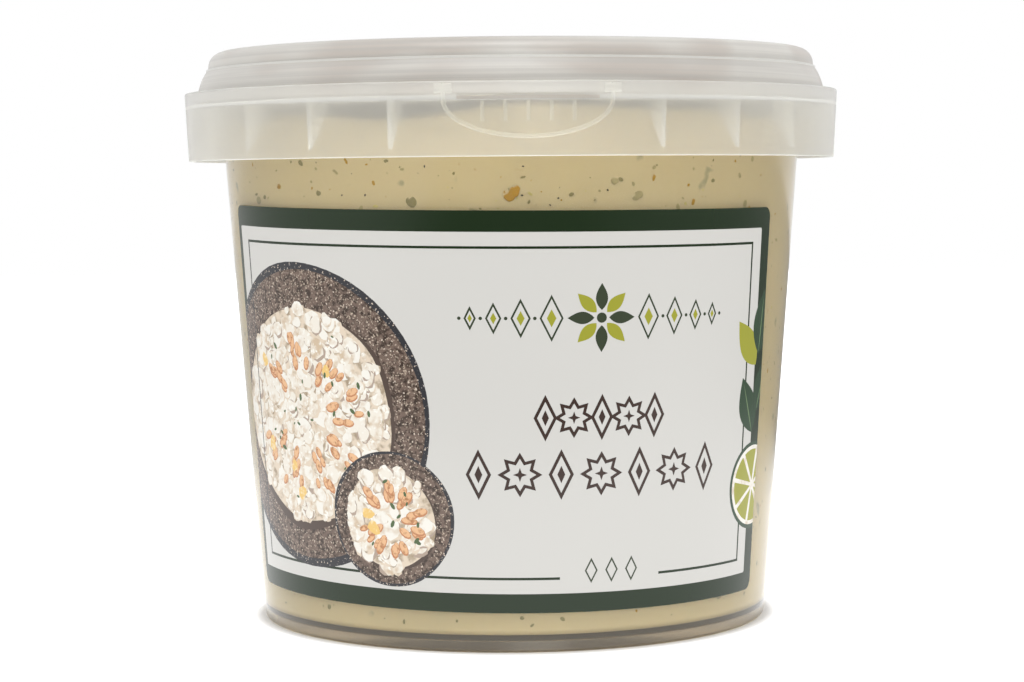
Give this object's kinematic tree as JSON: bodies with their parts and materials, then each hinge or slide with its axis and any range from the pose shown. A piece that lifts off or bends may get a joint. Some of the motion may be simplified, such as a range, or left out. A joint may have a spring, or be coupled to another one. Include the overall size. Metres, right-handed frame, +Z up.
{
  "type": "sealed tub of baba ganoush",
  "caption": "Round clear plastic tub filled with pale aubergine dip, closed by a milky snap lid inside a tear-off collar, with a printed wrap label; it stands on its foot ring.",
  "frame": {"origin": "centre of the foot ring, on the surface that the tub stands on", "axes": "+Z up through the lid, the tear tab and the label face -Y, +X to the right of the label"},
  "size_m": [0.095, 0.0952, 0.0821],
  "materials": {
    "clear_plastic": "clear moulded polypropylene, faintly cloudy, thicker and hazier at the collar",
    "milky_plastic": "milky moulded polypropylene with a soft shine",
    "dip": "smooth cream-coloured dip with small flecks of herb, spice and aubergine seed",
    "label": "satin printed film, off-white inside a dark green border"
  },
  "bodies": {
    "root": {"tub": "clear_plastic", "lid": "milky_plastic", "dip": "dip", "label": "label"}
  },
  "joints": []
}
